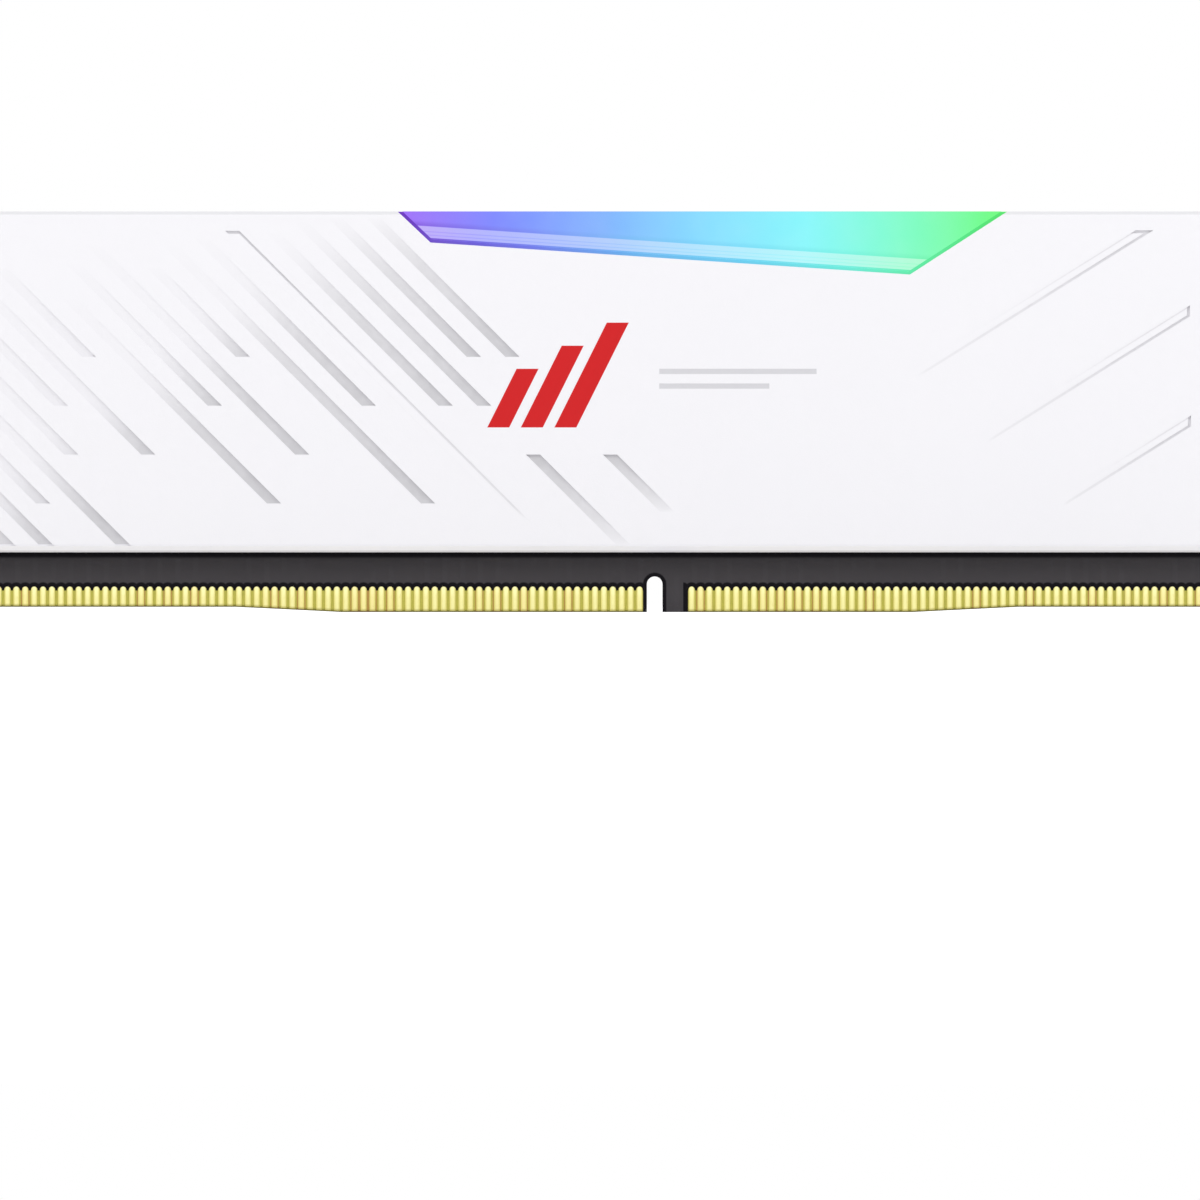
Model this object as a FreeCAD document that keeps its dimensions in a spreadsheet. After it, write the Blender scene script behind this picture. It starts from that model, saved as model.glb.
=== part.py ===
import FreeCAD, Part
import math
import os
import Sketcher

# A 288 contact memory module with two white heat spreaders and a light bar, upright as it stands in its slot.
# Millimetres. X runs along the module, the front looks towards -Y and +Z is up.
# The origin is the middle of the board's lowest edge.

doc = FreeCAD.newDocument("ram_module")
sheet = doc.addObject("Spreadsheet::Sheet", "size")

SIZES = [
    # board
    ("board_long", 133.35),
    ("board_tall", 31.25),
    ("board_thick", 1.4),
    # the contact edge steps up towards both ends, over two long slopes
    ("edge_step", 0.5),
    ("slope_left_outer", 34.425),
    ("slope_left_inner", 24.225),
    ("slope_right_inner", 30.175),
    ("slope_right_outer", 40.375),
    # key notch, right of the middle
    ("key_x", 5.575),
    ("key_wide", 1.5),
    ("key_deep", 3.4),
    # notches for the slot's latches, two at each end
    ("latch_low_z", 9.5),
    ("latch_high_z", 16.1),
    ("latch_tall", 3.0),
    ("latch_deep", 1.3),
    ("latch_corner", 0.75),
    # contact fingers: both rows start beside the key notch and run on towards the board's ends
    ("contact_pitch", 0.85),
    ("contact_wide", 0.6),
    ("contact_top", 2.45),
    ("contact_margin", 0.1),
    ("contact_thick", 0.05),
    ("contact_before_key", 1.45),
    ("contact_after_key", 3.525),
    ("contact_end_margin", 3.35),
    # memory chips, four each side of the middle
    ("chip_wide", 7.5),
    ("chip_tall", 11.0),
    ("chip_thick", 1.2),
    ("chip_middle_z", 17.0),
    ("chip_first_x", 11.5),
    ("chip_end_inset", 13.175),
    ("chip_mark_wide", 0.8),
    ("chip_mark_deep", 0.05),
    ("chip_mark_inset", 1.1),
    # configuration memory, between the two middle memory chips
    ("spd_wide", 3.0),
    ("spd_tall", 2.0),
    ("spd_thick", 0.8),
    # termination resistor arrays, a row above the contacts
    ("resistor_wide", 2.0),
    ("resistor_tall", 1.0),
    ("resistor_thick", 0.45),
    ("resistor_end_inset", 7.175),
    ("resistor_count", 18),
    ("resistor_over_contacts", 4.7),
    # decoupling capacitors, a row under and a row over the memory chips
    ("decoupler_wide", 1.0),
    ("decoupler_tall", 0.5),
    ("decoupler_thick", 0.5),
    ("decoupler_end_inset", 14.175),
    ("decoupler_count", 16),
    ("decoupler_gap", 1.1),
    # bulk capacitors, a row over the decoupling capacitors
    ("bulk_wide", 2.0),
    ("bulk_tall", 1.25),
    ("bulk_thick", 0.9),
    ("bulk_end_inset", 17.675),
    ("bulk_count", 8),
    ("bulk_gap", 1.0),
    # LEDs, a row on each face just under the board's top edge
    ("led_wide", 3.8),
    ("led_tall", 1.6),
    ("led_thick", 1.0),
    ("led_end_inset", 10.875),
    ("led_count", 10),
    ("led_below_edge", 0.3),
    # LED electronics, a row on the back under the LEDs
    ("back_row_below_leds", 1.85),
    ("controller_wide", 3.0),
    ("controller_tall", 3.0),
    ("controller_thick", 0.75),
    ("controller_x", -4.0),
    ("power_wide", 2.9),
    ("power_tall", 1.6),
    ("power_thick", 1.1),
    ("power_x", 3.0),
    ("inductor_wide", 2.5),
    ("inductor_tall", 2.0),
    ("inductor_thick", 1.2),
    ("inductor_x", 8.0),
    ("passive_wide", 1.0),
    ("passive_tall", 0.5),
    ("passive_thick", 0.45),
    ("passive_pitch", 2.2),
    ("passive_count", 6),
    ("passive_x", -24.0),
    # thermal pads
    ("pad_squeezed", 0.5),
    ("pad_border", 0.5),
    ("foam_border", 2.0),
    ("foam_below_back_row", 0.5),
    # heat spreaders
    ("shell_thick", 1.5),
    ("shell_low", 5.7),
    ("bar_tall", 6.95),
    ("shell_lip", 0.6),
    ("shell_edge", 0.3),
    ("return_thick", 1.2),
    ("return_gap", 0.1),
    ("latch_relief_wide", 4.5),
    ("latch_relief_top", 26.0),
    # cut-out for the light, a lopsided trapezoid in the shell's top edge
    ("window_left", 18.95),
    ("window_left_foot", 15.8),
    ("window_left_deep", 2.97),
    ("window_right", 39.2),
    ("window_right_foot", 29.9),
    ("window_right_deep", 6.02),
    ("window_gap", 0.33),
    ("window_bevel_tall", 1.2),
    ("window_bevel_deep", 0.6),
    ("diffuser_end_gap", 0.15),
    # ramped stripes, engraved at 45 degrees: the nth starts one pitch further along
    ("stripe_first", -46.73),
    ("stripe_pitch", 3.67),
    ("stripe_wide", 1.35),
    ("stripe_deep", 0.3),
    ("level_pitch", 4.66),
    # shallow bands, each with a deeper score line along its lower edge and its blunt end
    ("band_deep", 0.09),
    ("score_wide", 0.28),
    ("score_deep", 0.26),
    ("long_band_below_top", 1.85),
    ("long_band_drop", 28.3),
    ("side_band_slope", 1.6),
    ("side_band_tall", 1.05),
    ("cutter_margin", 0.2),
]

# Every stripe: its place in the row, the level of its deep end, and how far it climbs until it has faded out.
# Levels are counted up from the shell's lower edge, and a stripe at level 0 ends at the lip there.
STRIPES = [
    (-2, 2, 13.0),
    (-1, 0, 17.0),
    (0, 0, 16.0),
    (1, 1, 13.0),
    (2, 0, 18.5),
    (3, 2, 11.0),
    (4, 3, 9.5),
    (5, 2, 17.5),
    (6, 4, 8.5),
    (7, 1, 19.5),
    (8, 3, 13.5),
    (9, 2, 20.0),
    (10, 4, 8.5),
    (11, 1, 24.5),
    (12, 3, 16.0),
    (14, 3, 16.5),
    (15, 3, 17.5),
    (16, 4, 13.2),
    (17, 4, 13.2),
]

# Stripes that are deep at the top and fade downwards: place in the row, level of the deep end, and the drop
FADING_DOWN = [
    (15, 2, 8.6),
    (17, 2, 5.5),
]
LONG_BAND_PLACE = 13

# Bands on the right, which rise to the right: the deep end's distance from the shell's end and its height over
# the shell's lower edge, and the run along X to where it has faded
TOP_BAND = ("top_band", 13.575, 30.7, 23.0)
SIDE_BANDS = [
    ("upper_side_band", 10.075, 22.5, 20.0),
    ("lower_side_band", 9.975, 12.0, 12.6),
]
SAME_PLACE = 1e-4

for row, (alias, number) in enumerate(SIZES, 1):
    sheet.set(f"A{row}", alias)
    sheet.set(f"B{row}", str(number))
    sheet.setAlias(f"B{row}", alias)
doc.recompute()

# Faces and levels that several pieces share, as expressions over the sheet
MIDDLE = "0 * size.board_long"
GROUND = "0 * size.board_tall"
BOARD_FACE = "size.board_thick / 2"
SHELL_INSIDE = f"({BOARD_FACE} + size.chip_thick + size.pad_squeezed)"
SHELL_FACE = f"({SHELL_INSIDE} + size.shell_thick)"
SHELL_TOP = "(size.board_tall + size.bar_tall)"
CHIP_LOW = "(size.chip_middle_z - size.chip_tall / 2)"
CHIP_HIGH = "(size.chip_middle_z + size.chip_tall / 2)"
LEFT_CONTACT = "(size.key_x - size.contact_before_key)"
RIGHT_CONTACT = "(size.key_x + size.contact_after_key)"
LAST_CHIP = "(size.board_long / 2 - size.chip_end_inset)"
CHIP_REACH = f"({LAST_CHIP} + size.chip_wide / 2)"
UPPER_DECOUPLERS = f"({CHIP_HIGH} + size.decoupler_gap)"
LOWER_DECOUPLERS = f"({CHIP_LOW} - size.decoupler_gap)"
LED_LOW = "(size.board_tall - size.led_below_edge - size.led_tall)"
BACK_ROW = f"({LED_LOW} - size.back_row_below_leds - size.controller_tall)"

parts = []


def value(expression):
    """The number that an expression over the sheet has now."""
    return float(sheet.evalExpression(expression.replace("size.", "")))


def body(label, y="0"):
    """An empty body with its origin moved along Y."""
    made = doc.addObject("PartDesign::Body", label)
    made.Label = label
    made.AllowCompound = True
    made.setExpression("Placement.Base.y", y)
    return made


def origin_feature(owner, role):
    return [feature for feature in owner.Origin.OriginFeatures if feature.Role == role][0]


def face_sketch(owner, name):
    """An empty sketch on the body's XZ plane, so that a pad from it grows towards -Y."""
    sketch = owner.newObject("Sketcher::SketchObject", name)
    sketch.AttachmentSupport = (origin_feature(owner, "XZ_Plane"), [""])
    sketch.MapMode = "FlatFace"
    return sketch


def fix_point(sketch, geometry, end, x, z):
    """Hold one end of an edge at a place that the sheet gives."""
    for kind, expression in (("DistanceX", x), ("DistanceY", z)):
        number = sketch.addConstraint(Sketcher.Constraint(kind, -1, 1, geometry, end, value(expression)))
        sketch.setExpression(f"Constraints[{number}]", expression)


def add_polygon(sketch, points):
    """A closed outline of straight edges through points, each a pair of expressions."""
    first = sketch.GeometryCount
    places = [FreeCAD.Vector(value(x), value(z), 0) for x, z in points]
    count = len(points)
    for i in range(count):
        sketch.addGeometry(Part.LineSegment(places[i], places[(i + 1) % count]), False)
    for i in range(count):
        sketch.addConstraint(Sketcher.Constraint("Coincident", first + i, 2, first + (i + 1) % count, 1))
    for i, (x, z) in enumerate(points):
        fix_point(sketch, first + i, 1, x, z)


def add_slot(sketch, middle, wide, low, top):
    """A closed outline with a flat foot, two upright sides and a half round top."""
    left, right = f"{middle} - {wide} / 2", f"{middle} + {wide} / 2"
    shoulder = f"{top} - {wide} / 2"
    corners = [(left, shoulder), (left, low), (right, low), (right, shoulder)]
    places = [FreeCAD.Vector(value(x), value(z), 0) for x, z in corners]
    centre = FreeCAD.Vector(value(middle), value(shoulder), 0)
    first = sketch.GeometryCount
    for i in range(3):
        sketch.addGeometry(Part.LineSegment(places[i], places[i + 1]), False)
    circle = Part.Circle(centre, FreeCAD.Vector(0, 0, 1), value(f"{wide} / 2"))
    sketch.addGeometry(Part.ArcOfCircle(circle, 0, math.pi), False)
    for i in range(3):
        sketch.addConstraint(Sketcher.Constraint("Coincident", first + i, 2, first + i + 1, 1))
    sketch.addConstraint(Sketcher.Constraint("Coincident", first + 3, 2, first, 1))
    for i, (x, z) in enumerate(corners):
        fix_point(sketch, first + min(i, 2), 1 if i < 3 else 2, x, z)
    height = sketch.addConstraint(Sketcher.Constraint("DistanceY", -1, 1, first + 3, 3, value(shoulder)))
    sketch.setExpression(f"Constraints[{height}]", shoulder)


def pad(owner, sketch, length, both_ways=False):
    feature = owner.newObject("PartDesign::Pad", f"{sketch.Name}_pad")
    feature.Profile = sketch
    feature.setExpression("Length", length)
    if both_ways:
        feature.SideType = "Symmetric"
    return feature


def pocket_through(owner, sketch):
    """Cut an outline right through the body, both ways from its plane."""
    feature = owner.newObject("PartDesign::Pocket", f"{sketch.Name}_pocket")
    feature.Profile = sketch
    feature.Type = "ThroughAll"
    feature.SideType = "Symmetric"
    return feature


def line_up(owner, features, name, span, count, second_row=None):
    """Repeat features evenly over a span along X, and once more higher up where a second row is asked for."""
    feature = owner.newObject("PartDesign::LinearPattern", name)
    feature.Originals = features
    feature.Direction = (origin_feature(owner, "X_Axis"), [""])
    feature.setExpression("Length", span)
    feature.setExpression("Occurrences", count)
    if second_row:
        feature.Direction2 = (origin_feature(owner, "Z_Axis"), [""])
        feature.setExpression("Length2", second_row)
        feature.Occurrences2 = 2
    owner.Tip = feature
    return feature


def rectangle(middle, wide, low, tall):
    """Corners of a rectangle from its middle, width, foot and height."""
    left, right = f"{middle} - ({wide}) / 2", f"{middle} + ({wide}) / 2"
    high = f"{low} + {tall}"
    return [(left, low), (right, low), (right, high), (left, high)]


def edges_where(shape, test):
    """Names of the shape's straight edges whose two ends pass the test."""
    names = []
    for number, edge in enumerate(shape.Edges, 1):
        if len(edge.Vertexes) == 2 and test(edge.Vertexes[0].Point, edge.Vertexes[1].Point):
            names.append(f"Edge{number}")
    return names


def near(a, b):
    return abs(a - b) < SAME_PLACE


def board():
    """Bare board: stepped contact edge, key notch and the latch notches at its ends."""
    made = body("pcb")
    half = "size.board_long / 2"
    outline = face_sketch(made, "board_outline")
    add_polygon(outline, [
        (f"-{half}", "size.edge_step"),
        ("-size.slope_left_outer", "size.edge_step"),
        ("-size.slope_left_inner", GROUND),
        ("size.slope_right_inner", GROUND),
        ("size.slope_right_outer", "size.edge_step"),
        (half, "size.edge_step"),
        (half, "size.board_tall"),
        (f"-{half}", "size.board_tall"),
    ])
    pad(made, outline, "size.board_thick", both_ways=True)
    key = face_sketch(made, "key_notch")
    add_slot(key, "size.key_x", "size.key_wide", "-size.edge_step", "size.key_deep")
    pocket_through(made, key)
    latches = face_sketch(made, "latch_notches")
    for side in ("-", ""):
        for level in ("size.latch_low_z", "size.latch_high_z"):
            low = f"{level} - size.latch_tall / 2"
            add_polygon(latches, rectangle(f"{side}{half}", "2 * size.latch_deep", low, "size.latch_tall"))
    cut = pocket_through(made, latches)
    doc.recompute()
    inner = value(f"{half} - size.latch_deep")
    corners = made.newObject("PartDesign::Fillet", "latch_corners")
    corners.Base = (cut, edges_where(
        cut.Shape, lambda a, b: near(abs(a.x), inner) and near(abs(b.x), inner) and not near(a.y, b.y)))
    corners.setExpression("Radius", "size.latch_corner")
    parts.append(made)


def contacts(label, y):
    """One face's gold fingers: two runs of equal pitch, their feet trimmed along the stepped edge."""
    made = body(label, y)
    half = "size.board_long / 2"
    runs = (
        ("left", LEFT_CONTACT, f"({half} + {LEFT_CONTACT} - size.contact_end_margin)"),
        ("right", RIGHT_CONTACT, f"({half} - {RIGHT_CONTACT} - size.contact_end_margin)"),
    )
    for name, middle, room in runs:
        finger = face_sketch(made, f"{label}_{name}_finger")
        add_slot(finger, middle, "size.contact_wide", GROUND, "size.contact_top")
        grown = pad(made, finger, "size.contact_thick")
        steps = f"floor({room} / size.contact_pitch)"
        row = line_up(made, [grown], f"{label}_{name}_row", f"size.contact_pitch * {steps}", f"{steps} + 1")
        row.Reversed = name == "left"
    trim = face_sketch(made, f"{label}_trim")
    end = "size.board_long"
    raised = "size.edge_step + size.contact_margin"
    add_polygon(trim, [
        (f"-{end}", "-size.edge_step"),
        (end, "-size.edge_step"),
        (end, raised),
        ("size.slope_right_outer", raised),
        ("size.slope_right_inner", "size.contact_margin"),
        ("-size.slope_left_inner", "size.contact_margin"),
        ("-size.slope_left_outer", raised),
        (f"-{end}", raised),
    ])
    made.Tip = pocket_through(made, trim)
    parts.append(made)


def memory_chips():
    """Eight packages on the front, each with a small round mark pressed in one corner of its face."""
    side_by_side = [-4, -3, -2, -1, 1, 2, 3, 4]
    for number, place in enumerate(side_by_side, 1):
        sign = "-" if place < 0 else ""
        share = f"{abs(place) - 1} / 3"
        middle = f"{sign}(size.chip_first_x + {share} * ({LAST_CHIP} - size.chip_first_x))"
        made = body(f"dram_chip_{number}", f"-{BOARD_FACE}")
        outline = face_sketch(made, f"chip_{number}_outline")
        add_polygon(outline, rectangle(middle, "size.chip_wide", CHIP_LOW, "size.chip_tall"))
        pad(made, outline, "size.chip_thick")
        mark = made.newObject("Sketcher::SketchObject", f"chip_{number}_mark")
        mark.AttachmentSupport = (origin_feature(made, "XZ_Plane"), [""])
        mark.MapMode = "FlatFace"
        mark.setExpression("AttachmentOffset.Base.z", "size.chip_thick")
        mark_x = f"{middle} - size.chip_wide / 2 + size.chip_mark_inset"
        mark_z = f"{CHIP_HIGH} - size.chip_mark_inset"
        centre = FreeCAD.Vector(value(mark_x), value(mark_z), 0)
        mark.addGeometry(Part.Circle(centre, FreeCAD.Vector(0, 0, 1), value("size.chip_mark_wide / 2")), False)
        fix_point(mark, 0, 3, mark_x, mark_z)
        size = mark.addConstraint(Sketcher.Constraint("Radius", 0, value("size.chip_mark_wide / 2")))
        mark.setExpression(f"Constraints[{size}]", "size.chip_mark_wide / 2")
        dimple = made.newObject("PartDesign::Pocket", f"chip_{number}_dimple")
        dimple.Profile = mark
        dimple.setExpression("Length", "size.chip_mark_deep")
        parts.append(made)


def small_parts(label, kind, front, middle, low, span=None, second_row=None):
    """One block, or a row of like blocks over a span, soldered to a face of the board and centred on middle."""
    y = f"-{BOARD_FACE}" if front else f"{BOARD_FACE} + size.{kind}_thick"
    made = body(label, y)
    first = f"{middle} - {span} / 2" if span else middle
    outline = face_sketch(made, f"{label}_outline")
    add_polygon(outline, rectangle(first, f"size.{kind}_wide", low, f"size.{kind}_tall"))
    grown = pad(made, outline, f"size.{kind}_thick")
    if span:
        line_up(made, [grown], f"{label}_row", span, f"size.{kind}_count", second_row)
    parts.append(made)


def full_row(kind):
    """Span of a row that stops short of the board's ends by the kind's own inset."""
    return f"(size.board_long - 2 * size.{kind}_end_inset)"


def electronics():
    """Everything that is soldered to the board. The memory chips and what serves them are on the front."""
    memory_chips()
    small_parts("spd_chip", "spd", True, MIDDLE, "size.chip_middle_z - size.spd_tall / 2")
    small_parts("resistor_arrays", "resistor", True, MIDDLE,
                "size.contact_top + size.resistor_over_contacts", full_row("resistor"))
    small_parts("decoupling_capacitors", "decoupler", True, MIDDLE,
                f"{LOWER_DECOUPLERS} - size.decoupler_tall / 2", full_row("decoupler"),
                f"{UPPER_DECOUPLERS} - {LOWER_DECOUPLERS}")
    small_parts("bulk_capacitors", "bulk", True, MIDDLE,
                f"{UPPER_DECOUPLERS} + size.decoupler_tall / 2 + size.bulk_gap", full_row("bulk"))
    small_parts("rgb_leds_front", "led", True, MIDDLE, LED_LOW, full_row("led"))
    small_parts("rgb_leds_back", "led", False, MIDDLE, LED_LOW, full_row("led"))
    small_parts("led_controller", "controller", False, "size.controller_x", BACK_ROW)
    small_parts("led_power_chip", "power", False, "size.power_x", BACK_ROW)
    small_parts("led_power_inductor", "inductor", False, "size.inductor_x", BACK_ROW)
    small_parts("led_passives", "passive", False, "size.passive_x", BACK_ROW,
                "(size.passive_pitch * (size.passive_count - 1))")


def thermal_pad(label, y, thick, border, top):
    """A strip over the memory chips' places, with a border round them at its ends and its lower edge."""
    made = body(label, y)
    outline = face_sketch(made, f"{label}_outline")
    reach = f"2 * ({CHIP_REACH} + {border})"
    low = f"({CHIP_LOW} - {border})"
    add_polygon(outline, rectangle(MIDDLE, reach, low, f"({top} - {low})"))
    pad(made, outline, thick)
    parts.append(made)


def window_corners(inset):
    """Lower corners and top corners of the light's cut-out, drawn in all round by inset except at the top."""
    top = SHELL_TOP
    left_x, left_z = "-size.window_left_foot", f"({top} - size.window_left_deep)"
    right_x, right_z = "size.window_right_foot", f"({top} - size.window_right_deep)"
    left_run = "(size.window_left - size.window_left_foot)"
    right_run = "(size.window_right - size.window_right_foot)"
    # Moving a slanted side inwards by inset moves its top corner by inset over the sine of its slope.
    left_top = f"-size.window_left + {inset} * sqrt(1 + pow({left_run} / size.window_left_deep; 2))"
    right_top = f"size.window_right - {inset} * sqrt(1 + pow({right_run} / size.window_right_deep; 2))"
    fall = f"(({left_z} - {right_z}) / ({right_x} - {left_x}))"
    foot_rise = f"({inset} * sqrt(1 + pow({fall}; 2)))"
    left_shift = f"({inset} * sqrt(1 + pow({left_run} / size.window_left_deep; 2)) - {foot_rise} * {left_run}" \
                 " / size.window_left_deep)"
    right_shift = f"({inset} * sqrt(1 + pow({right_run} / size.window_right_deep; 2)) - {foot_rise} * {right_run}" \
                  " / size.window_right_deep)"
    return [
        (left_top, top),
        (f"{left_x} + {left_shift}", f"{left_z} + {foot_rise}"),
        (f"{right_x} - {right_shift}", f"{right_z} + {foot_rise}"),
        (right_top, top),
    ]


def diffuser():
    """Milky bar on the board's top edge. On each face a bevelled panel stands out into the shell's cut-out."""
    made = body("light_diffuser")
    bar = face_sketch(made, "diffuser_bar")
    bar_long = "size.board_long - 2 * (size.return_thick + size.diffuser_end_gap)"
    add_polygon(bar, rectangle(MIDDLE, bar_long, "size.board_tall", "size.bar_tall"))
    pad(made, bar, f"2 * {SHELL_INSIDE}", both_ways=True)
    bevels = []
    for name, turn in (("front", 0), ("back", 180)):
        panel = body(f"{name}_light_panel", f"{'-' if name == 'front' else ''}{SHELL_INSIDE}")
        panel.Placement.Rotation = FreeCAD.Rotation(FreeCAD.Vector(0, 0, 1), turn)
        face = face_sketch(panel, f"{name}_panel_face")
        add_polygon(face, window_corners("size.window_gap"))
        grown = pad(panel, face, "size.shell_thick")
        doc.recompute()
        low_left, low_right = [FreeCAD.Vector(value(x), -value("size.shell_thick"), value(z))
                               for x, z in window_corners("size.window_gap")[1:3]]
        bevel = panel.newObject("PartDesign::Chamfer", f"{name}_panel_bevel")
        bevel.Base = (grown, edges_where(
            grown.Shape,
            lambda a, b: all(min((a - p).Length, (b - p).Length) < SAME_PLACE for p in (low_left, low_right))))
        bevel.ChamferType = "Two distances"
        bevel.setExpression("Size", "size.window_bevel_deep")
        bevel.setExpression("Size2", "size.window_bevel_tall")
        bevels.append(panel)
    whole = doc.addObject("Part::MultiFuse", "light_diffuser_whole")
    whole.Shapes = [made] + bevels
    made.Label = "diffuser_bar_body"
    whole.Label = "light_diffuser"
    parts.append(whole)


def shell_plate():
    """The stamped plate before engraving: outline, lipped edges and the returns at its two ends."""
    plate = body("shell_plate", f"-{SHELL_INSIDE}")
    half = "size.board_long / 2"
    relief_x = f"({half} - size.latch_relief_wide)"
    relief_z = "(size.latch_relief_top - size.latch_relief_wide)"
    outline = face_sketch(plate, "shell_outline")
    left_top, left_foot, right_foot, right_top = window_corners("0 * size.window_gap")
    add_polygon(outline, [
        (f"-{relief_x}", "size.shell_low"),
        (relief_x, "size.shell_low"),
        (relief_x, relief_z),
        (half, "size.latch_relief_top"),
        (half, SHELL_TOP),
        right_top,
        right_foot,
        left_foot,
        left_top,
        (f"-{half}", SHELL_TOP),
        (f"-{half}", "size.latch_relief_top"),
        (f"-{relief_x}", relief_z),
    ])
    flat = pad(plate, outline, "size.shell_thick")
    doc.recompute()
    face = -value("size.shell_thick")
    low, top = value("size.shell_low"), value(SHELL_TOP)
    reach, relief = value(half), value(relief_x)
    edges = {
        "lip": ("size.shell_lip", lambda a, b: near(a.z, low) and near(b.z, low)),
        "edge": ("size.shell_edge", lambda a, b: (near(a.z, top) and near(b.z, top))
                 or (near(abs(a.x), reach) and near(abs(b.x), reach))
                 or (min(abs(a.x), abs(b.x)) > relief - SAME_PLACE and max(a.z, b.z) < top - SAME_PLACE
                     and not near(a.z, b.z))),
    }
    base = flat
    for name, (width, test) in edges.items():
        chamfer = plate.newObject("PartDesign::Chamfer", f"shell_{name}")
        names = edges_where(base.Shape, lambda a, b: near(a.y, face) and near(b.y, face) and test(a, b))
        chamfer.Base = (base, names)
        chamfer.setExpression("Size", width)
        doc.recompute()
        base = chamfer
    returns = face_sketch(plate, "shell_returns")
    for side in ("-", ""):
        middle = f"{side}({half} - size.return_thick / 2)"
        add_polygon(returns, rectangle(middle, "size.return_thick", "size.latch_relief_top",
                                       f"({SHELL_TOP} - size.latch_relief_top)"))
    grown = pad(plate, returns, f"{SHELL_INSIDE} - {BOARD_FACE} - size.return_gap")
    grown.Reversed = True
    return plate


def wedge(name, low, high, low_x, high_x, wide, low_deep, high_deep, upright=True):
    """A cutter with a sloping floor. Upright, it runs along Z from low to high and its ends lie along X;
    otherwise it runs along X and its ends are upright. The depths are those of its floor at the two ends."""
    made = doc.addObject("Part::Wedge", name)
    axes = [FreeCAD.Vector(1, 0, 0), FreeCAD.Vector(0, 0, 1)]
    if not upright:
        axes = [FreeCAD.Vector(0, 0, -1), FreeCAD.Vector(1, 0, 0)]
    made.Placement.Rotation = FreeCAD.Rotation(*axes, FreeCAD.Vector(0, -1, 0), "XYZ")
    made.setExpression("Placement.Base.y", f"-{SHELL_FACE}")
    bounds = {
        "Ymin": low,
        "Ymax": high,
        "Xmin": low_x,
        "Xmax": f"{low_x} + {wide}",
        "X2min": high_x,
        "X2max": f"{high_x} + {wide}",
        "Zmin": f"-{low_deep}",
        "Zmax": "size.cutter_margin",
        "Z2min": f"-{high_deep}",
        "Z2max": "size.cutter_margin",
    }
    for bound, expression in bounds.items():
        made.setExpression(bound, expression)
    return made


def stripe_place(place, level_z):
    """Left edge at a height of the stripe that has this place in the row. The row leans at 45 degrees."""
    return f"(size.stripe_first + {place} * size.stripe_pitch - ({level_z}))"


def level(number):
    """Height of a level, counted up from the shell's lower edge."""
    return f"(size.shell_low + {number} * size.level_pitch)" if number else "(size.shell_low + size.shell_lip)"


def engraving():
    """All the cutters for one shell face."""
    cutters = []
    nothing = "0 * size.stripe_deep"
    for place, number, climb in STRIPES:
        low = level(number)
        high = f"({low} + {climb})"
        cutters.append(wedge(f"stripe_{place + 2}", low, high, stripe_place(place, low),
                             stripe_place(place, high), "size.stripe_wide", "size.stripe_deep", nothing))
    for place, number, drop in FADING_DOWN:
        high = level(number)
        low = f"({high} - {drop})"
        cutters.append(wedge(f"falling_stripe_{place}", low, high, stripe_place(place, low),
                             stripe_place(place, high), "size.stripe_wide", nothing, "size.stripe_deep"))
    cutters += long_band()
    cutters += top_band()
    cutters += side_bands()
    return cutters


def long_band():
    """The one stripe of the row that is a shallow band with a score line along its right edge."""
    high = f"({SHELL_TOP} - size.long_band_below_top)"
    low = f"({high} - size.long_band_drop)"
    low_x, high_x = stripe_place(LONG_BAND_PLACE, low), stripe_place(LONG_BAND_PLACE, high)
    nothing = "0 * size.band_deep"
    inner = "size.stripe_wide - size.score_wide"
    cap_low = f"({high} - size.score_wide)"
    return [
        wedge("long_band", low, high, low_x, high_x, "size.stripe_wide", nothing, "size.band_deep"),
        wedge("long_band_score", low, high, f"{low_x} + {inner}", f"{high_x} + {inner}", "size.score_wide",
              nothing, "size.score_deep"),
        wedge("long_band_cap", cap_low, high, f"{high_x} + size.score_wide", high_x, "size.stripe_wide",
              "size.score_deep", "size.score_deep"),
    ]


def top_band():
    """The uppermost band on the right: its blunt end is level, as the stripes' ends are."""
    name, end_inset, rise, run = TOP_BAND
    wide = "size.side_band_tall * size.side_band_slope"
    score = "size.score_wide * size.side_band_slope"
    high = f"(size.shell_low + {rise})"
    low = f"({high} - {run} / size.side_band_slope)"
    high_x = f"(size.board_long / 2 - {end_inset} - {wide})"
    low_x = f"({high_x} - {run})"
    inner = f"{wide} - {score}"
    nothing = "0 * size.band_deep"
    cap_low = f"({high} - size.score_wide)"
    return [
        wedge(name, low, high, low_x, high_x, wide, nothing, "size.band_deep"),
        wedge(f"{name}_score", low, high, f"{low_x} + {inner}", f"{high_x} + {inner}", score, nothing,
              "size.score_deep"),
        wedge(f"{name}_cap", cap_low, high, f"{high_x} - {score}", high_x, wide, "size.score_deep",
              "size.score_deep"),
    ]


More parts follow.
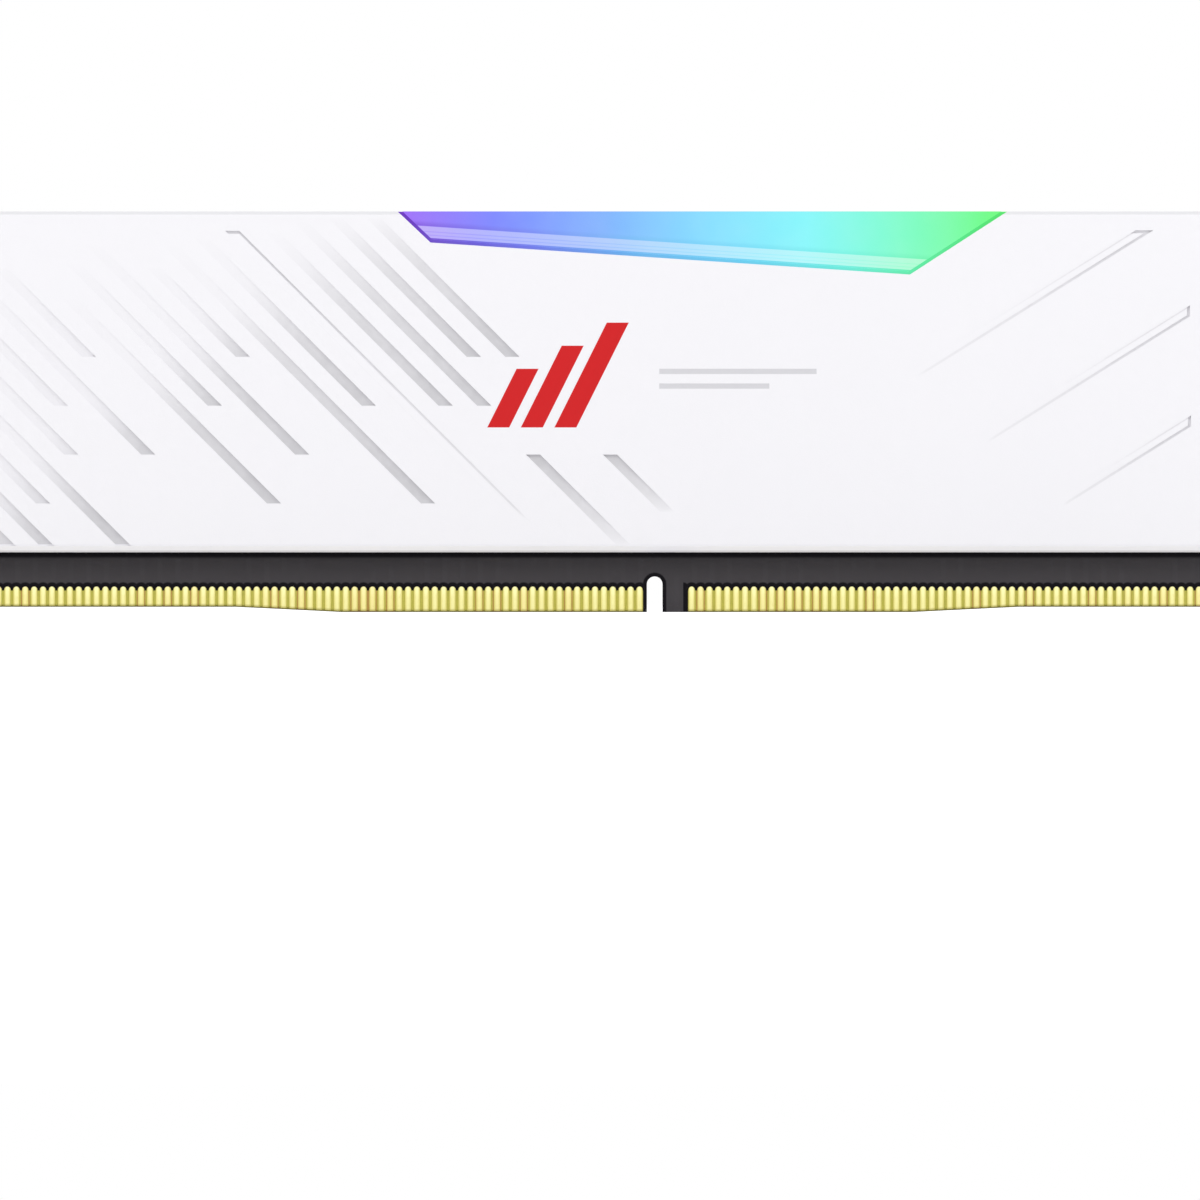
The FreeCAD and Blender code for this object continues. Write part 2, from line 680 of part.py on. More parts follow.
def side_bands():
    """The lower two bands on the right: their blunt ends are upright."""
    cutters = []
    nothing = "0 * size.band_deep"
    for name, end_inset, rise, run in SIDE_BANDS:
        end_x = f"(size.board_long / 2 - {end_inset})"
        far_x = f"({end_x} - {run})"
        # Heights count downwards here, because the cutter's own X axis points down.
        high = f"-(size.shell_low + {rise} + size.side_band_tall)"
        far_high = f"({high} + {run} / size.side_band_slope)"
        foot = f"-(size.shell_low + {rise} + size.score_wide)"
        far_foot = f"({foot} + {run} / size.side_band_slope)"
        cap_x = f"({end_x} - size.score_wide)"
        cap_high = f"({high} + size.score_wide / size.side_band_slope)"
        cutters += [
            wedge(name, far_x, end_x, far_high, high, "size.side_band_tall", nothing, "size.band_deep",
                  upright=False),
            wedge(f"{name}_score", far_x, end_x, far_foot, foot, "size.score_wide", nothing,
                  "size.score_deep", upright=False),
            wedge(f"{name}_cap", cap_x, end_x, cap_high, high, "size.side_band_tall", "size.score_deep",
                  "size.score_deep", upright=False),
        ]
    return cutters


def heat_spreaders():
    """Two like stampings, the back one turned half round."""
    tools = doc.addObject("Part::MultiFuse", "engraving_cutters")
    tools.Shapes = engraving()
    front = doc.addObject("Part::Cut", "front_heatspreader")
    front.Base = shell_plate()
    front.Tool = tools
    front.Label = "front_heatspreader"
    back = doc.addObject("Part::Compound", "back_heatspreader")
    back.Links = [front]
    back.Label = "back_heatspreader"
    back.Placement.Rotation = FreeCAD.Rotation(FreeCAD.Vector(0, 0, 1), 180)
    parts.append(front)
    parts.append(back)


board()
contacts("contacts_front", f"-{BOARD_FACE}")
contacts("contacts_back", f"{BOARD_FACE} + size.contact_thick")
electronics()
thermal_pad("thermal_pad_front", f"-{BOARD_FACE} - size.chip_thick", "size.pad_squeezed", "size.pad_border",
            f"{CHIP_HIGH} + size.pad_border")
thermal_pad("thermal_pad_back", SHELL_INSIDE, f"{SHELL_INSIDE} - {BOARD_FACE}", "size.foam_border",
            f"{BACK_ROW} - size.foam_below_back_row")
diffuser()
heat_spreaders()
doc.recompute()

for made in doc.Objects:
    if "Invalid" in made.State or "Error" in made.State:
        raise RuntimeError(f"{made.Label} was not built: {made.State}")
for part in parts:
    if part.Shape.isNull() or not part.Shape.isValid():
        raise RuntimeError(f"{part.Label} has no valid shape")

os.makedirs("parts", exist_ok=True)
for part in parts:
    part.Shape.exportStep(f"parts/{part.Label}.step")
    box = part.Shape.BoundBox
    print(f"{part.Label}: {len(part.Shape.Solids)} solids, {part.Shape.Volume:.3f} mm3, "
          f"x {box.XMin:.2f} {box.XMax:.2f}, y {box.YMin:.2f} {box.YMax:.2f}, z {box.ZMin:.2f} {box.ZMax:.2f}")
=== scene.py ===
import math

import bmesh
import bpy
from mathutils import Matrix, Vector


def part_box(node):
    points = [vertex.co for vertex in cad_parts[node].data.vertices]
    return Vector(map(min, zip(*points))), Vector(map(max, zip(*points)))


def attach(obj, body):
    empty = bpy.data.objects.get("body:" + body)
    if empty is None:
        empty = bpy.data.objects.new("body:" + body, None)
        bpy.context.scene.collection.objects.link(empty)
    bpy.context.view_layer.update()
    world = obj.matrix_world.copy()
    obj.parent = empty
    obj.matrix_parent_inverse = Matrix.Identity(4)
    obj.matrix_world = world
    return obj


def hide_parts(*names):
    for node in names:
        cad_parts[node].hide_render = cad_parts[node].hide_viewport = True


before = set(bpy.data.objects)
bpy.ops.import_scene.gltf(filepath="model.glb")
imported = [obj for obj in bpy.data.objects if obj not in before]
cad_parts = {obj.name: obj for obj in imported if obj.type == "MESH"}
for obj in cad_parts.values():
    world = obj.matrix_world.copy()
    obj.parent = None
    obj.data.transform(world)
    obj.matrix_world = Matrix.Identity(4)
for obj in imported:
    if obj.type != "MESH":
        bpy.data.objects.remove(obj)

bl_info = {
    "name": "Memory module",
    "version": (1, 0, 0),
    "blender": (4, 5, 0),
    "location": "3D View > Sidebar > Module",
    "description": "Finishes, contacts, soldered parts and stage for a memory module with a light bar",
    "category": "Object",
}

# Materials work in millimetres: the module stands on its contact edge, X along it, Z up, the front towards -Y.
MM = 0.001

# The board's contact edge steps up towards both ends, over a long slope on each side.
EDGE_STEP = 0.5
LEFT_SLOPE = (-24.225, -34.425)
RIGHT_SLOPE = (30.175, 40.375)
# Key notch: its middle, half its width and its rounded top.
KEY_X, KEY_HALF, KEY_TOP = 5.575, 0.75, 3.4
# Each contact row ends beside a dark bar this wide, and the solder mask starts at this height.
ROW_END = 0.5
MASK_FOOT = 2.04
# Just under the shells a painted shade darkens the board: foot and top of the shade, its softness and its reach along
# X.
SHADE_LOW, SHADE_HIGH, SHADE_SOFT, SHADE_REACH = 5.2, 6.6, 0.36, 61.9

# Heat spreaders: outer face, top, lower edge and the lip over it.
SHELL_FACE, SHELL_TOP = 3.9, 38.2
SHELL_LOW, LIP_TOP = 5.7, 6.3
# Engraving, as cut in the heat spreaders: the stripes lean at 45 degrees, the bands on the right fall 1 in 1.6.
# LONG_BAND and BANDS_FROM are places past the first stripe, and BAND_FEET are heights at the module's middle.
STRIPE_FIRST = -46.73
STRIPE_WIDE = 1.35
LONG_BAND = 13 * 3.67
BAND_SLOPE = 1.6
BAND_FEET = (3.2125, -7.175, -17.7375)
BAND_TALL = 1.05
BANDS_FROM = 63.6
SCORE_WIDE = 0.28
SCORE_DEEP = 0.26
# Print on the coating. Bars: left end of the foot, foot and top. Lines: both ends, foot and top.
BARS = ((-19.2, 17.6, 23.2), (-16.0, 17.6, 25.4), (-12.8, 17.6, 27.6))
BAR_WIDE, BAR_LEAN = 2.1, 0.5
LINES = ((6.0, 21.0, 22.7, 23.2), (6.0, 16.5, 21.3, 21.8))

WHITE, BLACK = (1.0, 1.0, 1.0), (0.0, 0.0, 0.0)

# Light bar: the cut-out's lower edge falls gently along the bar, from this height at the middle.
CUT_OUT_HIGH, CUT_OUT_FALL = 34.1755, -0.06674
# Colours along the bar, and the deeper ones round its panels: place along the module, then screen levels.
LIGHT_REACH = 66.0
LIGHT = (
    (-66, 236, 80, 196), (-40, 210, 92, 230), (-20, 160, 96, 246), (-10, 120, 130, 254), (1, 124, 178, 252),
    (10, 128, 218, 254), (20, 130, 246, 250), (29, 122, 251, 200), (38, 104, 250, 124), (66, 190, 240, 84))
DEEP_LIGHT = (
    (-66, 170, 10, 120), (-40, 130, 12, 150), (-18, 102, 22, 194), (-6, 110, 122, 232), (4, 106, 186, 238),
    (14, 104, 208, 241), (24, 104, 236, 220), (31, 90, 236, 166), (40, 74, 228, 90), (66, 120, 180, 40))


def linear(*levels):
    """Scene colour of a screen colour given as levels from 0 to 255."""
    shares = [level / 255 for level in levels]
    return tuple(s / 12.92 if s <= 0.04045 else ((s + 0.055) / 1.055) ** 2.4 for s in shares)


def length(name, description, millimetres):
    """A setting for a length, given in millimetres and kept in metres."""
    return bpy.props.FloatProperty(
        name=name, description=description, default=millimetres * MM, precision=5, unit="LENGTH",
        subtype="DISTANCE")


def colour(name, description, *levels):
    """A setting for a colour, given as screen levels."""
    return bpy.props.FloatVectorProperty(
        name=name, description=description, default=linear(*levels), subtype="COLOR", size=3, min=0, max=1)


def share(name, description, default):
    """A setting between 0 and 1."""
    return bpy.props.FloatProperty(
        name=name, description=description, default=default, min=0, max=1, subtype="FACTOR")


class SpreaderSettings(bpy.types.PropertyGroup):
    paint: colour("Paint", "White coating of the heat spreaders", 246, 245, 248)
    # At half strength this is also the painted shade along the bands' score lines and edges.
    groove: colour("Groove", "Deepest tone of the engraving", 206, 205, 208)
    groove_depth: length("Groove depth", "Depth at which the engraving has its deepest tone", 0.3)
    # Painted shade on the up-facing chamfer along the top edge.
    edge: colour("Edge", "Coating along the chamfered upper edges", 228, 228, 231)
    lip_line: colour("Lip line", "Rounded lower lip and the thin shaded line above it", 240, 239, 243)
    grain: length("Grain", "Size of the coating's fine grain", 0.14)
    accent: colour("Accent", "Slanted bars printed on the coating", 208, 0, 8)
    tick: colour("Tick", "Plain level lines printed beside the bars", 214, 213, 217)


class LightBarSettings(bpy.types.PropertyGroup):
    glow: share("Glow", "How much of the bar's colour comes from its own light", 0.78)
    spot_pitch: length("Spot pitch", "Distance between two LEDs under the bar", 12.4)
    bevel_low: length("Bevel foot", "Foot of the panel's bevel over the cut-out's lower edge", 0.33)
    bevel_high: length("Bevel top", "Top of the panel's bevel over the cut-out's lower edge", 1.53)


class BoardSettings(bpy.types.PropertyGroup):
    mask: colour("Solder mask", "Black solder mask", 73, 70, 73)
    # This dark colour is also the painted shade on the board just under the shells.
    outline: colour("Outline", "Dark rim round the contacts and the key notch", 8, 5, 12)
    laminate: colour("Laminate", "Bare laminate between the contacts", 208, 202, 96)
    laminate_brown: colour("Browned laminate", "Laminate where it has browned", 204, 160, 92)
    core: colour("Core", "Cut edge of the board", 40, 37, 33)
    trace_pitch: length("Trace pitch", "Distance between two traces under the mask", 0.85)


class ContactSettings(bpy.types.PropertyGroup):
    pitch: length("Pitch", "Distance from one contact to the next", 0.85)
    width: length("Width", "Width of a contact", 0.6)
    top: length("Top", "Height of a contact's rounded top over the board's lowest edge", 2.45)
    foot: length("Foot", "Height of a contact's foot over the board's edge", 0.1)
    thickness: length("Thickness", "Thickness of the plating", 0.05)
    rounding: length("Rounding", "Rounding of the plating's rim", 0.02)
    left_last: length("Left row", "Middle of the last contact left of the key notch", 4.125)
    left_count: bpy.props.IntProperty(name="Left", description="Contacts left of the key notch", default=80)
    right_first: length("Right row", "Middle of the first contact right of the key notch", 9.1)
    right_count: bpy.props.IntProperty(name="Right", description="Contacts right of the key notch", default=64)
    # Gold and the gold rim are a painted highlight along each contact's middle and a painted shade at its rim.
    gold: colour("Gold", "Middle of a contact", 255, 251, 184)
    gold_rim_shade: colour("Gold rim", "Rounded rim of a contact", 216, 207, 118)
    gold_warm: colour("Warm gold", "Tint of the warmer contacts", 252, 226, 150)


class SolderedSettings(bpy.types.PropertyGroup):
    epoxy: colour("Epoxy", "Moulded chip packages", 44, 44, 46)
    ceramic: colour("Ceramic", "Fired bodies of the capacitors", 176, 148, 116)
    glaze: colour("Glaze", "Glazed tops of the resistor arrays", 34, 34, 36)
    tin: colour("Tin", "Tinned end caps", 205, 206, 208)
    package: colour("LED package", "White LED packages", 240, 240, 234)
    lens: colour("LED lens", "Clear fill of the LEDs", 206, 214, 196)
    powder: colour("Powder", "Pressed powder of the inductor", 92, 92, 94)
    cap: length("End cap", "Length of the end cap of a small capacitor", 0.25)
    rounding: length("Rounding", "Rounding of the small parts' edges", 0.06)


class PadSettings(bpy.types.PropertyGroup):
    silicone: colour("Silicone", "Thermal pad on the memory chips", 148, 160, 172)
    foam: colour("Foam", "Foam pad at the back of the board", 74, 76, 80)
    grain: length("Grain", "Size of the filler's grain", 0.35)


class StageSettings(bpy.types.PropertyGroup):
    picture_width: length("Picture width", "Width that the camera sees at the module", 114.4)
    picture_x: length("Picture middle X", "Place of the picture's middle along the module", 0.353)
    picture_z: length("Picture middle Z", "Height of the picture's middle over the floor", 1.153)
    distance: length("Distance", "Distance of the camera from the module's front", 2000)
    sky: bpy.props.FloatProperty(name="Sky", description="Strength of the even studio light", default=0.8)
    key: bpy.props.FloatProperty(name="Key", description="Power of the key light", default=2.5, unit="POWER")
    fill: bpy.props.FloatProperty(name="Fill", description="Power of the fill light", default=1.2, unit="POWER")
    back: bpy.props.FloatProperty(name="Back", description="Power of the back light", default=2.2, unit="POWER")
    light_size: length("Light size", "Side of the square studio lights", 500)
    floor: colour("Floor", "Pale floor", 238, 238, 239)
    floor_white: share("Floor white", "White that the camera sees on top of the floor's own tone", 0.42)
    floor_size: length("Floor size", "Side of the floor", 6000)


class Finish:
    """A material in the making. Each method adds a node and returns the socket that comes out of it."""

    def __init__(self, name, roughness, metallic=0.0, specular=0.5):
        self.material = bpy.data.materials.new(name)
        self.material.use_nodes = True
        self.tree = self.material.node_tree
        self.shader = self.tree.nodes["Principled BSDF"]
        self.shader.inputs["Roughness"].default_value = roughness
        self.shader.inputs["Metallic"].default_value = metallic
        self.shader.inputs["Specular IOR Level"].default_value = specular
        coordinates = self.tree.nodes.new("ShaderNodeTexCoord")
        self.facing = self.split(coordinates.outputs["Normal"])
        scaled = self.tree.nodes.new("ShaderNodeVectorMath")
        scaled.operation = "SCALE"
        scaled.inputs["Scale"].default_value = 1 / MM
        self.tree.links.new(coordinates.outputs["Object"], scaled.inputs[0])
        self.place = scaled.outputs[0]
        self.x, self.y, self.z = self.split(self.place)

    def feed(self, socket, given):
        """Link a socket, or write a plain value to the input."""
        if isinstance(given, bpy.types.NodeSocket):
            self.tree.links.new(given, socket)
        elif hasattr(given, "__len__") and len(given) == 3 and len(socket.default_value) == 4:
            socket.default_value = (*given, 1)
        else:
            socket.default_value = given

    def split(self, vector):
        """X, Y and Z of a vector."""
        node = self.tree.nodes.new("ShaderNodeSeparateXYZ")
        self.feed(node.inputs[0], vector)
        return node.outputs

    def math(self, operation, *given, clamp=False):
        node = self.tree.nodes.new("ShaderNodeMath")
        node.operation = operation
        node.use_clamp = clamp
        for socket, value in zip(node.inputs, given):
            self.feed(socket, value)
        return node.outputs[0]

    def rise(self, value, start, end, smooth=True):
        """0 up to start, 1 from end on."""
        node = self.tree.nodes.new("ShaderNodeMapRange")
        node.interpolation_type = "SMOOTHSTEP" if smooth else "LINEAR"
        for socket, given in zip(node.inputs, (value, start, end)):
            self.feed(socket, given)
        return node.outputs[0]

    def rest_of(self, mask):
        """1 where the mask is 0, and 0 where it is 1."""
        return self.math("SUBTRACT", 1.0, mask)

    def fall(self, value, start, end):
        """1 up to start, 0 from end on."""
        return self.rest_of(self.rise(value, start, end))

    def between(self, value, low, high, soft=0.04):
        """1 between low and high, with soft ends."""
        up = self.rise(value, low - soft / 2, low + soft / 2)
        down = self.rise(value, high - soft / 2, high + soft / 2)
        return self.math("SUBTRACT", up, down, clamp=True)

    def all_of(self, *masks):
        """1 only where every mask is."""
        result = masks[0]
        for mask in masks[1:]:
            result = self.math("MULTIPLY", result, mask)
        return result

    def any_of(self, *masks):
        """The strongest of the masks."""
        result = masks[0]
        for mask in masks[1:]:
            result = self.math("MAXIMUM", result, mask)
        return result

    def mix_value(self, amount, low, high):
        """A value that goes from low to high as amount goes from 0 to 1."""
        kept = self.math("MULTIPLY", low, self.rest_of(amount))
        return self.math("MULTIPLY_ADD", high, amount, kept)

    def mix(self, amount, low, high):
        """A colour that goes from low to high as amount goes from 0 to 1."""
        node = self.tree.nodes.new("ShaderNodeMix")
        node.data_type = "RGBA"
        for socket, given in zip((node.inputs[0], node.inputs[6], node.inputs[7]), (amount, low, high)):
            self.feed(socket, given)
        return node.outputs[2]

    def tint(self, tone, mask, amount, wanted):
        """A tone that goes over to the wanted one by some amount, inside a mask."""
        return self.mix(self.math("MULTIPLY", mask, amount), tone, wanted)

    def ramp(self, value, *stops):
        """Colours along a value, from pairs of place and colour."""
        node = self.tree.nodes.new("ShaderNodeValToRGB")
        self.feed(node.inputs[0], value)
        marks = node.color_ramp.elements
        while len(marks) < len(stops):
            marks.new(0.5)
        for mark, (where, tone) in zip(marks, stops):
            mark.position = where
            mark.color = (*tone, 1)
        return node.outputs[0]

    def noise(self, size, detail=2.0, stretch=(1, 1, 1)):
        """Cloudy pattern with spots of about size, in millimetres."""
        stretched = self.tree.nodes.new("ShaderNodeVectorMath")
        stretched.operation = "MULTIPLY"
        self.feed(stretched.inputs[0], self.place)
        stretched.inputs[1].default_value = stretch
        node = self.tree.nodes.new("ShaderNodeTexNoise")
        self.feed(node.inputs["Vector"], stretched.outputs[0])
        node.inputs["Scale"].default_value = 1 / size
        node.inputs["Detail"].default_value = detail
        return node.outputs[0]

    def scatter(self, value):
        """A steady random number for each whole value."""
        node = self.tree.nodes.new("ShaderNodeTexWhiteNoise")
        node.noise_dimensions = "1D"
        self.feed(node.inputs["W"], value)
        return node.outputs["Value"]

    def bump(self, height, depth, strength=1.0):
        """Relief from a pattern; depth in millimetres."""
        node = self.tree.nodes.new("ShaderNodeBump")
        node.inputs["Strength"].default_value = strength
        node.inputs["Distance"].default_value = depth * MM
        self.feed(node.inputs["Height"], height)
        self.feed(self.shader.inputs["Normal"], node.outputs[0])

    def base(self, tone):
        self.feed(self.shader.inputs["Base Color"], tone)

    def rough(self, pattern, low, high):
        """Roughness between low and high, following a pattern."""
        span = self.math("MULTIPLY_ADD", pattern, high - low, low)
        self.feed(self.shader.inputs["Roughness"], span)


def dress(node_name, material):
    """Give every material slot of a CAD node the same finish."""
    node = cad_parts[node_name]
    for held in node.material_slots:
        held.material = material


def add_piece(name, mesh_data, materials, slot_name, *nodes):
    """Turn a bmesh into a piece of the module that stands for CAD nodes."""
    bmesh.ops.recalc_face_normals(mesh_data, faces=mesh_data.faces[:])
    mesh = bpy.data.meshes.new(name)
    mesh_data.to_mesh(mesh)
    mesh_data.free()
    for material in materials:
        mesh.materials.append(material)
    piece = bpy.data.objects.new(name, mesh)
    bpy.context.scene.collection.objects.link(piece)
    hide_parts(*nodes)
    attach(piece, "root")
    return piece


def add_block(mesh_data, low, high, rounding=0.0, material=0, segments=1):
    """A box between two corners with rounded edges."""
    low, high = Vector(low), Vector(high)
    middle, size = (low + high) / 2, high - low
    place = Matrix.Translation(middle) @ Matrix.Diagonal((*size, 1))
    corners = bmesh.ops.create_cube(mesh_data, size=1, matrix=place)["verts"]
    faces = {face for corner in corners for face in corner.link_faces}
    for face in faces:
        face.material_index = material
    if rounding:
        edges = list({edge for corner in corners for edge in corner.link_edges})
        bmesh.ops.bevel(mesh_data, geom=edges, offset=rounding, segments=segments, profile=0.5,
                        affect="EDGES", material=-1)


def solids_of(node_name):
    """Lowest and highest corner of every separate solid of a CAD node."""
    found = bmesh.new()
    found.from_mesh(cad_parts[node_name].data)
    bmesh.ops.remove_doubles(found, verts=found.verts[:], dist=0.001 * MM)
    boxes, waiting = [], set(found.verts)
    while waiting:
        island, edge_of_island = set(), [next(iter(waiting))]
        while edge_of_island:
            corner = edge_of_island.pop()
            if corner not in island:
                island.add(corner)
                edge_of_island += [edge.other_vert(corner) for edge in corner.link_edges]
        waiting -= island
        places = [corner.co for corner in island]
        boxes.append((Vector([min(p[i] for p in places) for i in range(3)]),
                      Vector([max(p[i] for p in places) for i in range(3)])))
    found.free()
    return sorted(boxes, key=lambda box: (round(box[0].z, 5), box[0].x))


def capped_parts(mesh_data, boxes, cap, rounding):
    """A row of small parts: a fired body with a tinned cap at each end. The caps stand a little proud."""
    proud = 0.03 * MM
    for low, high in boxes:
        inner_low = low + Vector((proud, 0, proud))
        inner_high = high - Vector((proud, 0, proud))
        if abs(low.y) < abs(high.y):
            inner_high.y -= proud
        else:
            inner_low.y += proud
        add_block(mesh_data, inner_low, inner_high, rounding / 2)
        add_block(mesh_data, low, (low.x + cap, high.y, high.z), rounding, 1, 2)
        add_block(mesh_data, (high.x - cap, low.y, low.z), high, rounding, 1, 2)


def tin_finish(settings):
    """Tinned metal, slightly cloudy."""
    tin = Finish("tinned_ends", 0.32, metallic=1.0)
    cloud = tin.noise(0.25, 3)
    tin.base(tin.mix(cloud, settings.tin, linear(168, 168, 166)))
    tin.rough(cloud, 0.24, 0.46)
    tin.bump(cloud, 0.01)
    return tin.material


def fired_finish(name, tone, dark):
    """Ceramic, with fine specks and a slight cloudiness."""
    fired = Finish(name, 0.45)
    specks = fired.noise(0.08, 4)
    cloud = fired.noise(0.7)
    fired.base(fired.mix(fired.math("MULTIPLY", specks, cloud), tone, dark))
    fired.rough(cloud, 0.34, 0.56)
    fired.bump(specks, 0.008)
    return fired.material


def moulded_finish(settings):
    """Black moulding compound with its fine glassy filler."""
    moulded = Finish("moulding_compound", 0.6)
    specks = moulded.noise(0.06, 5)
    flow = moulded.noise(2.4, 2)
    moulded.base(moulded.mix(moulded.rise(specks, 0.45, 0.7), settings.epoxy, linear(66, 66, 69)))
    moulded.rough(flow, 0.48, 0.68)
    moulded.bump(specks, 0.01)
    return moulded.material


def above_edge(finish):
    """Height over the board's lower edge, which is stepped: it climbs along a slope towards each end."""
    right = finish.rise(finish.x, *RIGHT_SLOPE, smooth=False)
    left = finish.rise(finish.x, *LEFT_SLOPE, smooth=False)
    return finish.math("MULTIPLY_ADD", finish.math("ADD", right, left), -EDGE_STEP, finish.z)


def seen_along(finish):
    """Place along the module as seen from outside, so that the back matches the front."""
    side = finish.math("MULTIPLY", finish.math("SIGN", finish.y), -1.0)
    return finish.math("MULTIPLY", finish.x, side)


def nearest_contact(finish, rows):
    """Number of the nearest contact and the distance to its middle, in millimetres."""
    pitch = rows.pitch / MM
    right = finish.math("GREATER_THAN", finish.x, (rows.left_last + rows.right_first) / MM / 2)
    shift = (rows.right_first - rows.left_last) / MM
    along = finish.math("MULTIPLY_ADD", right, -(shift % pitch), finish.x)
    turns = finish.math("MULTIPLY", finish.math("SUBTRACT", along, rows.left_last / MM), 1 / pitch)
    index = finish.math("ROUND", turns)
    off = finish.math("MULTIPLY", finish.math("ABSOLUTE", finish.math("SUBTRACT", turns, index)), pitch)
    return index, off


class MEMORY_OT_board(bpy.types.Operator):
    """Finish the board: solder mask, bare laminate between the contacts, dark rims and a painted shade just under the
    shells
    """
    bl_idname = "memory.board"
    bl_label = "Board"

    def execute(self, context):
        held, rows = context.scene.memory_board, context.scene.memory_contacts
        board = Finish("solder_mask", 0.42, specular=0.1)
        weave = board.noise(0.3, 3)
        trace = self.traces(board, held.trace_pitch / MM)
        in_rows, rims = self.contact_rims(board, rows)
        bare = board.all_of(in_rows, board.fall(board.z, MASK_FOOT, MASK_FOOT + 0.1))
        tone = board.mix(bare, self.mask(board, held, trace), self.laminate(board, held, rows, weave))
        # Painted shade: the board is darkened just under the shells, where their lips shade it.
        painted_shade_under_lip = board.all_of(
            board.between(board.z, SHADE_LOW, SHADE_HIGH, SHADE_SOFT),
            board.fall(board.math("ABSOLUTE", board.x), SHADE_REACH, SHADE_REACH + 0.5))
        tone = board.mix(board.any_of(rims, self.key_rim(board), painted_shade_under_lip), tone, held.outline)
        cut_edge = board.fall(board.math("ABSOLUTE", board.facing[1]), 0.4, 0.6)
        board.base(board.mix(cut_edge, tone, held.core))
        board.rough(board.noise(1.4, 3), 0.34, 0.5)
        board.bump(board.math("ADD", trace, board.math("MULTIPLY", weave, 0.25)), 0.006, 0.6)
        dress("pcb", board.material)
        return {"FINISHED"}

    def contact_rims(self, board, rows):
        """Where the contact rows run, and the dark rims over their rounded tops and past their ends."""
        pitch, half = rows.pitch / MM, rows.width / MM / 2
        left_last, right_first = rows.left_last / MM, rows.right_first / MM
        left_first = left_last - (rows.left_count - 1) * pitch
        right_last = right_first + (rows.right_count - 1) * pitch
        beside, margin = half + ROW_END, half + 0.04
        _, off = nearest_contact(board, rows)
        over = board.math("MAXIMUM", board.math("SUBTRACT", board.z, rows.top / MM - half), 0.0)
        gap = board.math("SUBTRACT", self.distance(board, over, off), half)
        in_rows = board.any_of(
            board.between(board.x, left_first - half, left_last + margin),
            board.between(board.x, right_first - margin, right_last + half))
        near_rows = board.any_of(
            board.between(board.x, left_first - beside, left_last + beside),
            board.between(board.x, right_first - beside, right_last + beside))
        halo = board.all_of(board.fall(gap, 0.3, 0.48), board.rise(board.z, 1.96, 2.16), near_rows)
        ends = [board.between(board.x, first - beside, first - margin, 0.1) for first in (left_first, right_first)]
        ends.append(board.between(board.x, right_last + margin, right_last + beside, 0.1))
        return in_rows, board.any_of(halo, board.all_of(board.any_of(*ends), board.fall(board.z, 2.1, 2.4)))

    def distance(self, board, one_way, other_way):
        """Straight distance, from its parts along X and Z."""
        squares = board.math("MULTIPLY_ADD", one_way, one_way, board.math("MULTIPLY", other_way, other_way))
        return board.math("SQRT", squares)

    def key_rim(self, board):
        """Dark rim round the key notch and its rounded top."""
        over = board.math("MAXIMUM", board.math("SUBTRACT", board.z, KEY_TOP - KEY_HALF), 0.0)
        off = board.math("SUBTRACT", board.x, KEY_X)
        return board.fall(self.distance(board, over, off), KEY_HALF + 0.28, KEY_HALF + 0.44)

    def laminate(self, board, held, rows, weave):
        """Bare laminate between the contacts, browned here and there and darker at its foot."""
        index, _ = nearest_contact(board, rows)
        browned = board.rise(board.scatter(index), 0.72, 0.8)
        tone = board.mix(browned, held.laminate, held.laminate_brown)
        tone = board.tint(tone, weave, 0.4, linear(166, 158, 70))
        return board.tint(tone, board.fall(above_edge(board), 0.08, 0.3), 0.75, linear(74, 68, 38))

    def traces(self, board, pitch):
        """Traces climb from the contacts under the mask, and bend away higher up."""
        lean = board.math("MULTIPLY", board.math("MAXIMUM", board.math("SUBTRACT", board.z, 7.0), 0.0), 0.35)
        wave = board.math("PINGPONG", board.math("MULTIPLY", board.math("ADD", board.x, lean), 1 / pitch), 1.0)
        return board.all_of(board.rise(wave, 0.62, 0.8), board.rise(board.noise(5.5, 1), 0.42, 0.55))

    def mask(self, board, held, trace):
        """Solder mask, slightly paler over the traces and cloudy."""
        tone = board.tint(held.mask, trace, 0.07, linear(96, 93, 98))
        return board.tint(tone, board.noise(9, 2), 0.1, linear(48, 46, 49))


